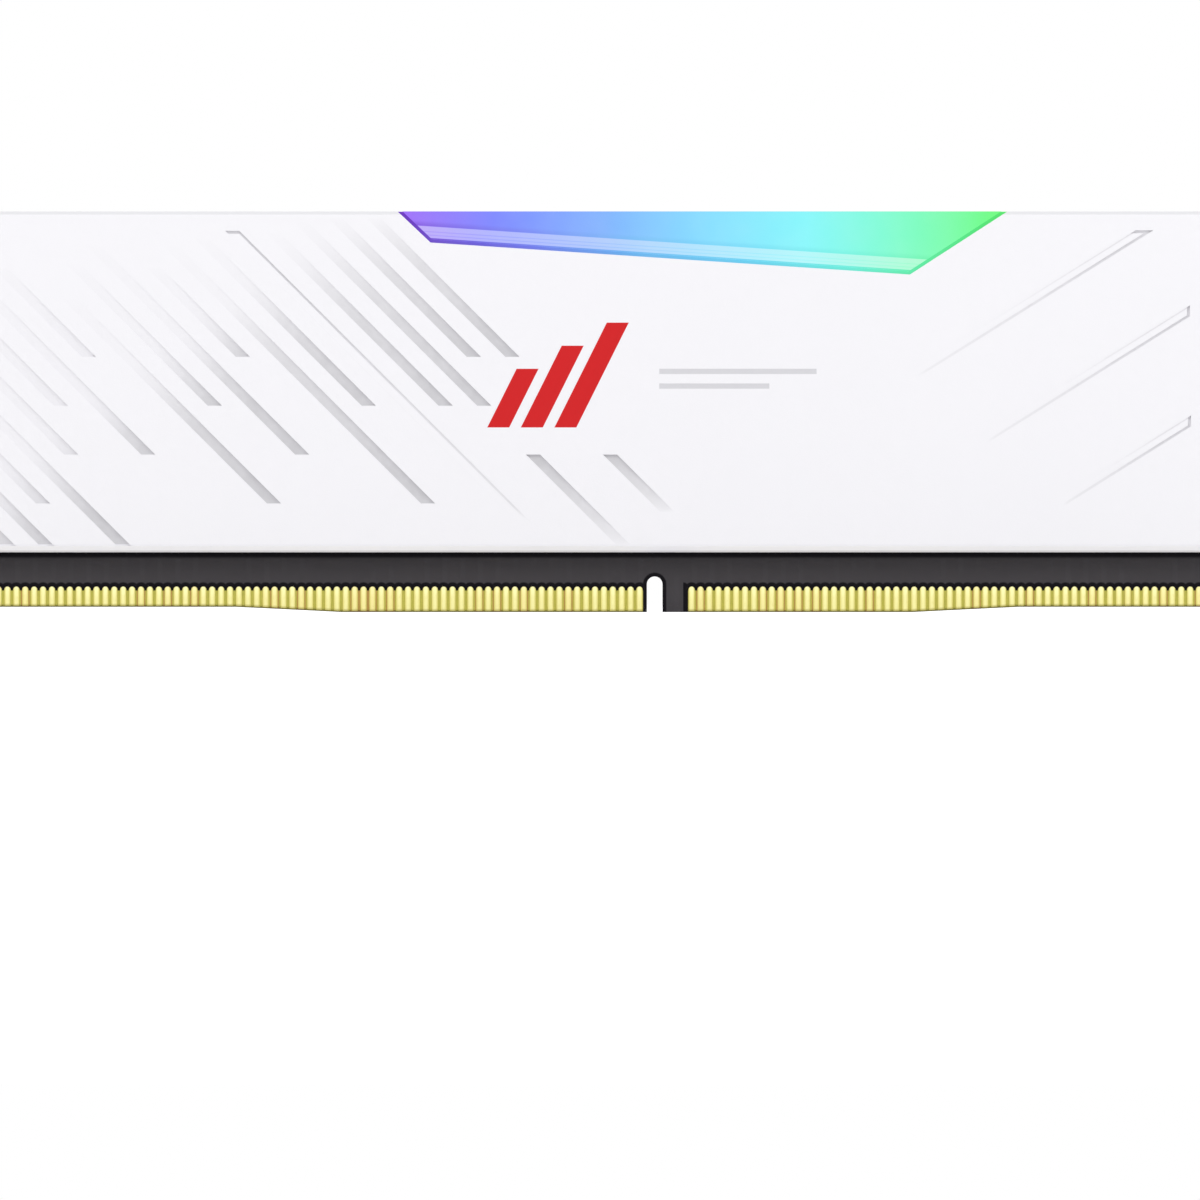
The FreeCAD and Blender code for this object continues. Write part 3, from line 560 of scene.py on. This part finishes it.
class MEMORY_OT_contacts(bpy.types.Operator):
    """Plate both faces' contacts: slim fingers with a rounded top, whose feet follow the stepped edge"""
    bl_idname = "memory.contacts"
    bl_label = "Contacts"

    def execute(self, context):
        held = context.scene.memory_contacts
        gold = self.gold(held)
        for face, node in ((-1, "contacts_front"), (1, "contacts_back")):
            rows = self.rows(held, face)
            add_piece(f"{node}_plated", rows, [gold], "contact_gold", node)
        return {"FINISHED"}

    def finger(self, held):
        """One contact over X = 0, as a mesh, its foot at the plating's margin."""
        made = bmesh.new()
        tall = held.top - held.foot
        to_front = Matrix.Rotation(math.radians(90), 4, "X")
        shape = Matrix.Translation((0, 0, held.foot + tall / 2)) @ to_front @ Matrix.Diagonal(
            (held.width / 2, tall / 2, 1, 1))
        bmesh.ops.create_grid(made, x_segments=1, y_segments=1, size=1, matrix=shape)
        upper = [corner for corner in made.verts if corner.co.z > tall / 2]
        bmesh.ops.bevel(made, geom=upper, offset=held.width / 2 * 0.999, segments=6, profile=0.5,
                        affect="VERTICES", material=-1)
        bmesh.ops.remove_doubles(made, verts=made.verts[:], dist=held.width / 500)
        raised = bmesh.ops.extrude_face_region(made, geom=made.faces[:])["geom"]
        front = [part for part in raised if isinstance(part, bmesh.types.BMVert)]
        bmesh.ops.translate(made, verts=front, vec=(0, -held.thickness, 0))
        rim = [edge for edge in made.edges if all(abs(end.co.y + held.thickness) < 1e-7 for end in edge.verts)]
        bmesh.ops.bevel(made, geom=rim, offset=held.rounding, segments=1, profile=0.5, affect="EDGES",
                        material=-1)
        mesh = bpy.data.meshes.new("contact")
        made.to_mesh(mesh)
        made.free()
        return mesh

    def rows(self, held, face):
        """All the contacts of one face. The feet rise with the board's edge towards its ends."""
        surface = abs(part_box("pcb")[1].y)
        middles = [held.left_last - held.pitch * i for i in range(held.left_count)]
        middles += [held.right_first + held.pitch * i for i in range(held.right_count)]
        one = self.finger(held)
        made = bmesh.new()
        for middle in middles:
            known = len(made.verts)
            made.from_mesh(one)
            made.verts.ensure_lookup_table()
            bmesh.ops.translate(made, verts=made.verts[known:], vec=(middle, -surface, 0))
        for corner in made.verts:
            if corner.co.z < held.top / 2:
                corner.co.z += self.step(corner.co.x)
        if face > 0:
            bmesh.ops.scale(made, vec=(1, -1, 1), verts=made.verts[:])
        bpy.data.meshes.remove(one)
        return made

    def step(self, x):
        """Height of the board's edge over its lowest stretch: two slopes lead up to the stepped ends."""
        inner, outer = LEFT_SLOPE if x < 0 else RIGHT_SLOPE
        return EDGE_STEP * MM * min(max((x / MM - inner) / (outer - inner), 0), 1)

    def gold(self, held):
        """Gold plating: a painted highlight along the middle of each contact and a painted shade at its rim; darker
        at its foot.
        """
        plated = Finish("gold_plating", 0.3, metallic=1.0)
        half = held.width / MM / 2
        index, off = nearest_contact(plated, held)
        chance = plated.scatter(index)
        tone = plated.tint(held.gold, plated.rise(chance, 0.55, 1.0), 0.4, held.gold_warm)
        stain = plated.noise(0.5, 3, (3, 1, 1))
        tone = plated.tint(tone, plated.rise(stain, 0.5, 0.8), 0.3, linear(228, 216, 124))
        # Painted highlight and shade: paler along each contact's middle, darker towards its rim.
        tone = plated.mix(plated.rise(off, half * 0.2, half * 1.05), tone, held.gold_rim_shade)
        tone = plated.tint(tone, plated.fall(above_edge(plated), 0.1, 0.38), 0.75, linear(136, 124, 58))
        plated.base(plated.tint(tone, plated.fall(plated.z, 1.3, 2.2), 0.3, linear(222, 208, 112)))
        rubbed = plated.noise(0.12, 3, (6, 1, 0.6))
        plated.rough(rubbed, 0.22, 0.42)
        plated.bump(rubbed, 0.004)
        return plated.material


class MEMORY_OT_chips(bpy.types.Operator):
    """Finish the moulded chips on both faces of the board"""
    bl_idname = "memory.chips"
    bl_label = "Chips"

    def execute(self, context):
        moulded = moulded_finish(context.scene.memory_soldered)
        names = [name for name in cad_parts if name.startswith("dram_chip_")]
        for name in names + ["spd_chip", "led_controller", "led_power_chip"]:
            dress(name, moulded)
        return {"FINISHED"}


class MEMORY_OT_small_parts(bpy.types.Operator):
    """Model the capacitors, resistor arrays and LED passives with their tinned end caps"""
    bl_idname = "memory.small_parts"
    bl_label = "Small parts"

    def execute(self, context):
        held = context.scene.memory_soldered
        tin = tin_finish(held)
        ceramic = fired_finish("fired_ceramic", held.ceramic, linear(138, 112, 84))
        glaze = fired_finish("glazed_resistor", held.glaze, linear(64, 64, 66))
        rows = (
            ("decoupling_capacitors", ceramic, "capacitor", held.cap),
            ("bulk_capacitors", ceramic, "capacitor", held.cap * 1.6),
            ("led_passives", ceramic, "capacitor", held.cap),
        )
        for node, body, slot_name, cap in rows:
            made = bmesh.new()
            capped_parts(made, solids_of(node), cap, held.rounding)
            add_piece(f"{node}_capped", made, [body, tin], slot_name, node)
        made = bmesh.new()
        for low, high in solids_of("resistor_arrays"):
            self.array(made, low, high, held.rounding)
        add_piece("resistor_arrays_capped", made, [glaze, tin], "resistor", "resistor_arrays")
        return {"FINISHED"}

    def array(self, made, low, high, rounding):
        """One resistor array: a slab with four tinned terminals along each long side."""
        rim = 0.04 * MM
        add_block(made, (low.x, low.y, low.z + rim), (high.x, high.y, high.z - rim), rounding / 2)
        wide = (high.x - low.x) / 4
        for i in range(4):
            left = low.x + wide * (i + 0.22)
            right = left + wide * 0.56
            for foot, top in ((low.z, low.z + wide * 0.5), (high.z - wide * 0.5, high.z)):
                add_block(made, (left, low.y, foot), (right, high.y, top), rounding / 2, 1)


class MEMORY_OT_leds(bpy.types.Operator):
    """Model both rows of LEDs, each a white package with a filled cup and four terminals"""
    bl_idname = "memory.leds"
    bl_label = "LEDs"

    def execute(self, context):
        held = context.scene.memory_soldered
        package = Finish("led_package", 0.4)
        cloud = package.noise(0.3, 3)
        package.base(package.mix(cloud, held.package, linear(226, 226, 218)))
        package.bump(cloud, 0.01)
        lens = Finish("led_lens", 0.12)
        swirl = lens.noise(0.6, 2)
        lens.base(lens.mix(swirl, held.lens, linear(228, 224, 176)))
        lens.rough(swirl, 0.08, 0.2)
        tin = tin_finish(held)
        for node in ("rgb_leds_front", "rgb_leds_back"):
            made = bmesh.new()
            for low, high in solids_of(node):
                self.led(made, low, high, held.rounding)
            add_piece(f"{node}_detailed", made, [package.material, lens.material, tin], "led_package", node)
        return {"FINISHED"}

    def led(self, made, low, high, rounding):
        """One LED: a package with a sunken cup in its outer face, and two terminals at each end."""
        outward = 1 if low.y > 0 else -1
        foot = 0.3 * MM
        inset = Vector((foot, 0, 0))
        known = set(made.faces)
        add_block(made, low + inset, high - inset)
        front = max(set(made.faces) - known, key=lambda face: face.calc_center_median().y * outward)
        bmesh.ops.inset_region(made, faces=[front], thickness=0.28 * MM)
        bmesh.ops.translate(made, verts=front.verts[:], vec=(0, -0.22 * MM * outward, 0))
        front.material_index = 1
        base = low.y if outward > 0 else high.y
        step = 0.35 * MM * outward
        for left in (low.x, high.x - foot * 1.4):
            for level in (low.z + 0.12 * MM, high.z - 0.62 * MM):
                low_corner = (left, min(base, base + step), level)
                high_corner = (left + foot * 1.4, max(base, base + step), level + 0.5 * MM)
                add_block(made, low_corner, high_corner, rounding / 2, 2)


class MEMORY_OT_inductor(bpy.types.Operator):
    """Model the moulded inductor of the LED supply with its bent terminals"""
    bl_idname = "memory.inductor"
    bl_label = "Inductor"

    def execute(self, context):
        held = context.scene.memory_soldered
        powder = fired_finish("pressed_powder", held.powder, linear(60, 60, 62))
        low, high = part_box("led_power_inductor")
        made = bmesh.new()
        leg = 0.12 * MM
        body_low, body_high = low + Vector((leg, leg, 0)), high - Vector((leg, 0, 0))
        add_block(made, body_low, body_high, held.rounding * 2, 0, 3)
        foot, top = low.z + leg * 3, high.z - leg * 3
        for wide, deep in ((leg * 4, leg), (leg, leg * 5)):
            for left, right in ((low.x, low.x + wide), (high.x - wide, high.x)):
                add_block(made, (left, low.y, foot), (right, low.y + deep, top), leg / 4, 1)
        add_piece("led_power_inductor_moulded", made, [powder, tin_finish(held)], "inductor",
                  "led_power_inductor")
        return {"FINISHED"}


class MEMORY_OT_pads(bpy.types.Operator):
    """Finish the silicone pad on the chips and the foam pad at the back"""
    bl_idname = "memory.pads"
    bl_label = "Thermal pads"

    def execute(self, context):
        held = context.scene.memory_pads
        rows = (
            ("thermal_pad_front", "silicone_pad", held.silicone, linear(112, 124, 138), 0.03),
            ("thermal_pad_back", "foam_pad", held.foam, linear(48, 50, 54), 0.09),
        )
        for node, name, tone, dark, depth in rows:
            pad = Finish(name, 0.75, specular=0.3)
            grain = pad.noise(held.grain / MM, 4)
            cloud = pad.noise(4, 2)
            pad.base(pad.mix(pad.rise(grain, 0.4, 0.65), dark, tone))
            pad.rough(cloud, 0.6, 0.85)
            pad.bump(grain, depth)
            dress(node, pad.material)
        return {"FINISHED"}


class MEMORY_OT_light_bar(bpy.types.Operator):
    """Light the bar: colours run along it, paler on the panels' bevels and deeper in the gap round them"""
    bl_idname = "memory.light_bar"
    bl_label = "Light bar"

    def execute(self, context):
        held = context.scene.memory_light_bar
        bar = Finish("milky_light_bar", 0.22, specular=0.15)
        along = bar.rise(bar.x, -LIGHT_REACH, LIGHT_REACH, smooth=False)
        tone, deep = self.colours(bar, along, LIGHT), self.colours(bar, along, DEEP_LIGHT)
        out = bar.math("ABSOLUTE", bar.y)
        faces_out = bar.rise(bar.math("ABSOLUTE", bar.facing[1]), 0.4, 0.6)
        top = bar.rise(bar.facing[2], 0.9, 0.98)
        panel = bar.math("MULTIPLY", faces_out, bar.rise(out, 2.9, 3.1))
        tone, rim = self.panel(bar, held, panel, tone, deep)
        gap = bar.math("MULTIPLY", faces_out, bar.fall(out, 2.6, 2.9))
        upright = bar.fall(bar.math("ABSOLUTE", bar.facing[2]), 0.9, 0.98)
        walls = bar.math("MULTIPLY", bar.rest_of(faces_out), upright)
        tone = bar.mix(bar.any_of(gap, rim, bar.math("MULTIPLY", walls, 0.6)), tone, deep)
        spots = bar.all_of(top, self.spots(bar, held.spot_pitch / MM), bar.fall(out, 0.4, 3.4))
        tone = bar.tint(tone, spots, 0.4, WHITE)
        tone = bar.tint(tone, bar.noise(3.5, 2), 0.08, WHITE)
        bar.base(bar.mix(1 - held.glow, BLACK, tone))
        bar.feed(bar.shader.inputs["Emission Color"], tone)
        bar.shader.inputs["Emission Strength"].default_value = held.glow
        bar.rough(bar.noise(0.6, 3), 0.18, 0.3)
        dress("light_diffuser", bar.material)
        return {"FINISHED"}

    def colours(self, bar, along, stops):
        """Colours along the bar, from stops at places along the module."""
        span = 2 * LIGHT_REACH
        return bar.ramp(along, *(((place + LIGHT_REACH) / span, linear(*levels)) for place, *levels in stops))

    def panel(self, bar, held, panel, tone, deep):
        """Shade a panel: a pale bevel with two lines along its foot, and a deeper tone over it. Gives its rim too."""
        over = bar.math("SUBTRACT", bar.z, bar.math("MULTIPLY_ADD", seen_along(bar), CUT_OUT_FALL, CUT_OUT_HIGH))
        low, high = held.bevel_low / MM, held.bevel_high / MM
        flat = bar.all_of(panel, bar.rise(over, high, high + 0.05), bar.fall(over, high + 0.05, high + 0.6))
        tone = bar.tint(tone, flat, 0.5, deep)
        lines = bar.any_of(
            bar.between(over, low + 0.34, low + 0.42, 0.05), bar.between(over, low + 0.66, low + 0.74, 0.05))
        pale = bar.mix(bar.math("MULTIPLY_ADD", lines, -0.14, 0.3), tone, WHITE)
        bevel = bar.math("MULTIPLY", panel, bar.between(over, low + 0.12, high, 0.06))
        rim = bar.math("MULTIPLY", panel, bar.fall(over, low + 0.06, low + 0.14))
        return bar.mix(bevel, tone, pale), rim

    def spots(self, bar, pitch):
        """A soft bright spot over each LED, as it shows from above."""
        turns = bar.math("MULTIPLY_ADD", bar.x, 1 / pitch, 0.5)
        off = bar.math("ABSOLUTE", bar.math("SUBTRACT", turns, bar.math("ROUND", turns)))
        return bar.fall(off, 0.05, 0.42)


class MEMORY_OT_spreaders(bpy.types.Operator):
    """Coat both heat spreaders: white with a fine grain, grey-printed stripes, painted shade along the engraved bands
    and the edges, and plain printed accents
    """
    bl_idname = "memory.spreaders"
    bl_label = "Heat spreaders"

    def execute(self, context):
        held = context.scene.memory_spreaders
        coat = Finish("white_coating", 0.4, specular=0.35)
        grain = coat.noise(held.grain / MM, 3)
        tone = coat.tint(held.paint, coat.noise(26, 2), 0.35, linear(240, 239, 243))
        depth = coat.math("SUBTRACT", SHELL_FACE, coat.math("ABSOLUTE", coat.y))
        faces_out = coat.rise(coat.math("ABSOLUTE", coat.facing[1]), 0.9, 0.97)
        engraved = coat.all_of(faces_out, coat.fall(depth, 0.5, 0.6))
        shade = coat.math("MULTIPLY", engraved, self.shading(coat, depth, held.groove_depth / MM))
        worn = coat.math("MULTIPLY_ADD", coat.noise(1.1, 3), 0.5, 0.72)
        tone = coat.mix(coat.math("MULTIPLY", shade, worn, clamp=True), tone, held.groove)
        tone = self.edges(coat, held, faces_out, tone)
        printed = coat.math("MULTIPLY", faces_out, coat.fall(depth, 0.01, 0.03))
        tone = coat.mix(coat.math("MULTIPLY", self.bars(coat), printed), tone, held.accent)
        coat.base(coat.mix(coat.math("MULTIPLY", self.lines(coat), printed), tone, held.tick))
        facing_down = coat.rise(coat.math("MULTIPLY", coat.facing[2], -1.0), 0.5, 0.6)
        polished = coat.math("MULTIPLY", facing_down, coat.between(coat.z, SHELL_LOW + 0.01, LIP_TOP - 0.01, 0.02))
        coat.feed(coat.shader.inputs["Metallic"], polished)
        coat.rough(grain, 0.34, 0.48)
        coat.bump(grain, 0.006)
        for node in ("front_heatspreader", "back_heatspreader"):
            dress(node, coat.material)
        return {"FINISHED"}

    def edges(self, coat, held, faces_out, tone):
        """Painted shade: a greyer tone on the up-facing chamfer along the top, a thin shaded line over the lip, and
        the lip darker down to its foot; the lip itself takes the lip line's tone.
        """
        # Painted shade on the top chamfer, which faces up.
        high = coat.rise(coat.z, SHELL_TOP - 0.4, SHELL_TOP - 0.25)
        tone = coat.mix(coat.math("MULTIPLY", coat.rise(coat.facing[2], 0.3, 0.6), high), tone, held.edge)
        # A thin painted shade line just over the lip.
        line = coat.math("MULTIPLY", faces_out, coat.between(coat.z, LIP_TOP, LIP_TOP + 0.16, 0.08))
        lip = coat.between(coat.z, SHELL_LOW - 0.1, LIP_TOP - 0.04, 0.06)
        tone = coat.mix(coat.any_of(line, lip), tone, held.lip_line)
        # Painted shade at the lip's foot, next to the board.
        return coat.tint(tone, coat.fall(coat.z, SHELL_LOW + 0.04, SHELL_LOW + 0.28), 0.5, linear(176, 174, 178))

    def shading(self, coat, depth, deepest):
        """How dark the engraving is: the ramped stripes are printed greyer where they are deeper; on the shallow
        bands a painted shade lines the walls of their score lines, their upper edges and their deep ends.
        """
        place = seen_along(coat)
        climb = coat.math("SUBTRACT", coat.math("ADD", place, coat.z), STRIPE_FIRST)
        long_end = LONG_BAND + STRIPE_WIDE
        right_side = coat.rise(climb, BANDS_FROM, BANDS_FROM + 0.4)
        bands = coat.any_of(coat.between(climb, LONG_BAND, long_end, 0.2), right_side)
        ramped = coat.math("POWER", coat.math("MULTIPLY", depth, 1 / deepest, clamp=True), 0.5)
        # The stripes are faintest towards the upper left corner.
        far = coat.math("SUBTRACT", coat.z, coat.math("MULTIPLY_ADD", place, 0.8, 32.0))
        ramped = coat.math("MULTIPLY", ramped, coat.math("MULTIPLY_ADD", coat.rise(far, 15.0, 28.0), -0.85, 1.0))
        height = coat.math("MULTIPLY_ADD", place, -1 / BAND_SLOPE, coat.z)
        fading = coat.math("POWER", coat.math("MULTIPLY", depth, 1 / SCORE_DEEP, clamp=True), 0.35)
        lower = [coat.between(height, foot, foot + SCORE_WIDE) for foot in BAND_FEET]
        upper = [coat.between(height, foot + BAND_TALL - 0.14, foot + BAND_TALL) for foot in BAND_FEET]
        long_score = coat.between(climb, long_end - SCORE_WIDE, long_end)
        # Painted shade: dark lines along the score lines' walls, the bands' upper edges and the deep ends, where
        # shade falls.
        score_line_shade = coat.math("MULTIPLY", coat.rise(depth, 0.005, 0.02), coat.any_of(
            long_score, coat.all_of(coat.any_of(*lower), right_side, fading)))
        upper_edge_shade = coat.all_of(coat.any_of(*upper), right_side, coat.rise(depth, 0.03, 0.08))
        painted_wall_shade = coat.any_of(score_line_shade, coat.rise(depth, 0.14, 0.2), coat.math("MULTIPLY", upper_edge_shade, 0.6))
        return coat.mix_value(bands, ramped, coat.math("MULTIPLY", painted_wall_shade, 0.5))

    def bars(self, coat):
        """Three slanted bars of growing length."""
        slid = coat.math("SUBTRACT", seen_along(coat), coat.math("MULTIPLY", coat.z, BAR_LEAN))
        return coat.any_of(*(
            coat.all_of(coat.between(slid, left, left + BAR_WIDE, 0.05), coat.between(coat.z, low, high, 0.05))
            for left, low, high in BARS))

    def lines(self, coat):
        """Two plain level lines to the right of the bars."""
        place = seen_along(coat)
        return coat.any_of(*(
            coat.all_of(coat.between(place, left, right, 0.05), coat.between(coat.z, low, high, 0.05))
            for left, right, low, high in LINES))


class MEMORY_OT_stage(bpy.types.Operator):
    """Set the stage: pale floor, even studio light and a camera level with the module's foot"""
    bl_idname = "memory.stage"
    bl_label = "Stage"

    def execute(self, context):
        held = context.scene.memory_stage
        scene = context.scene
        scene.view_settings.view_transform = "Standard"
        self.world(scene, held.sky)
        self.floor(scene, held)
        self.light(scene, "key_light", (-0.45, -0.75, 0.7), held.key, held.light_size)
        self.light(scene, "fill_light", (0.7, -0.6, 0.45), held.fill, held.light_size)
        self.light(scene, "back_light", (0.3, 0.8, 0.7), held.back, held.light_size)
        self.camera(scene, held)
        return {"FINISHED"}

    def world(self, scene, sky):
        """Even light of strength sky, which the camera and reflections see as plain white."""
        world = bpy.data.worlds.new("studio")
        world.use_nodes = True
        tree = world.node_tree
        backdrop = tree.nodes["Background"]
        backdrop.inputs["Color"].default_value = (1, 1, 1, 1)
        strength = tree.nodes.new("ShaderNodeMath")
        strength.operation = "MULTIPLY_ADD"
        tree.links.new(self.seen(tree), strength.inputs[0])
        strength.inputs[1].default_value = 1 - sky
        strength.inputs[2].default_value = sky
        tree.links.new(strength.outputs[0], backdrop.inputs["Strength"])
        scene.world = world

    def seen(self, tree):
        """1 for rays that show a surface: from the camera, a reflection or through something clear."""
        rays = tree.nodes.new("ShaderNodeLightPath")
        result = rays.outputs["Is Camera Ray"]
        for name in ("Is Glossy Ray", "Is Transmission Ray"):
            either = tree.nodes.new("ShaderNodeMath")
            either.operation = "MAXIMUM"
            tree.links.new(result, either.inputs[0])
            tree.links.new(rays.outputs[name], either.inputs[1])
            result = either.outputs[0]
        return result

    def floor(self, scene, held):
        """A wide floor whose own tone keeps the shadow, with white added only where it is looked at."""
        made = bmesh.new()
        bmesh.ops.create_grid(made, x_segments=1, y_segments=1, size=held.floor_size / 2)
        mesh = bpy.data.meshes.new("floor")
        made.to_mesh(mesh)
        made.free()
        floor = bpy.data.objects.new("floor", mesh)
        scene.collection.objects.link(floor)
        pale = Finish("pale_floor", 0.9, specular=0.0)
        pale.base(pale.mix(pale.noise(40, 2), held.floor, linear(230, 230, 232)))
        white = pale.math("MULTIPLY", self.seen(pale.tree), held.floor_white)
        pale.feed(pale.shader.inputs["Emission Color"], (1.0, 1.0, 1.0))
        pale.feed(pale.shader.inputs["Emission Strength"], white)
        mesh.materials.append(pale.material)

    def light(self, scene, name, place, power, size):
        """A square studio light that looks at the module's middle."""
        lamp = bpy.data.lights.new(name, "AREA")
        lamp.energy = power
        lamp.size = size
        holder = bpy.data.objects.new(name, lamp)
        aim = Vector((0, 0, 0.02)) - Vector(place)
        holder.location = place
        holder.rotation_euler = aim.to_track_quat("-Z", "Y").to_euler()
        scene.collection.objects.link(holder)

    def camera(self, scene, held):
        """A level camera far in front, whose picture is as wide as the settings say."""
        lens = bpy.data.cameras.new("camera")
        lens.lens = lens.sensor_width * held.distance / held.picture_width
        lens.clip_start = 0.05
        lens.clip_end = 20
        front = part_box("front_heatspreader")[0].y
        holder = bpy.data.objects.new("camera", lens)
        holder.location = (held.picture_x, front - held.distance, held.picture_z)
        holder.rotation_euler = (math.radians(90), 0, 0)
        scene.collection.objects.link(holder)
        scene.camera = holder


SETTINGS = (
    ("memory_board", BoardSettings),
    ("memory_contacts", ContactSettings),
    ("memory_soldered", SolderedSettings),
    ("memory_pads", PadSettings),
    ("memory_light_bar", LightBarSettings),
    ("memory_spreaders", SpreaderSettings),
    ("memory_stage", StageSettings),
)

OPERATORS = (
    MEMORY_OT_board,
    MEMORY_OT_contacts,
    MEMORY_OT_chips,
    MEMORY_OT_small_parts,
    MEMORY_OT_leds,
    MEMORY_OT_inductor,
    MEMORY_OT_pads,
    MEMORY_OT_light_bar,
    MEMORY_OT_spreaders,
    MEMORY_OT_stage,
)


class MEMORY_PT_module(bpy.types.Panel):
    bl_label = "Memory module"
    bl_space_type = "VIEW_3D"
    bl_region_type = "UI"
    bl_category = "Module"

    def draw(self, context):
        for operator in OPERATORS:
            self.layout.operator(operator.bl_idname)
        for name, group in SETTINGS:
            box = self.layout.box()
            box.label(text=name.replace("_", " ").capitalize())
            for setting in group.__annotations__:
                box.prop(getattr(context.scene, name), setting)


CLASSES = tuple(group for _, group in SETTINGS) + OPERATORS + (MEMORY_PT_module,)


def register():
    for each in CLASSES:
        bpy.utils.register_class(each)
    for name, group in SETTINGS:
        setattr(bpy.types.Scene, name, bpy.props.PointerProperty(type=group))


def unregister():
    for name, _ in SETTINGS:
        delattr(bpy.types.Scene, name)
    for each in reversed(CLASSES):
        bpy.utils.unregister_class(each)


def main():
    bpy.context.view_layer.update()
    register()
    bpy.ops.memory.board()
    bpy.ops.memory.contacts()
    bpy.ops.memory.chips()
    bpy.ops.memory.small_parts()
    bpy.ops.memory.leds()
    bpy.ops.memory.inductor()
    bpy.ops.memory.pads()
    bpy.ops.memory.light_bar()
    bpy.ops.memory.spreaders()
    bpy.ops.memory.stage()


if __name__ == "__main__":
    main()
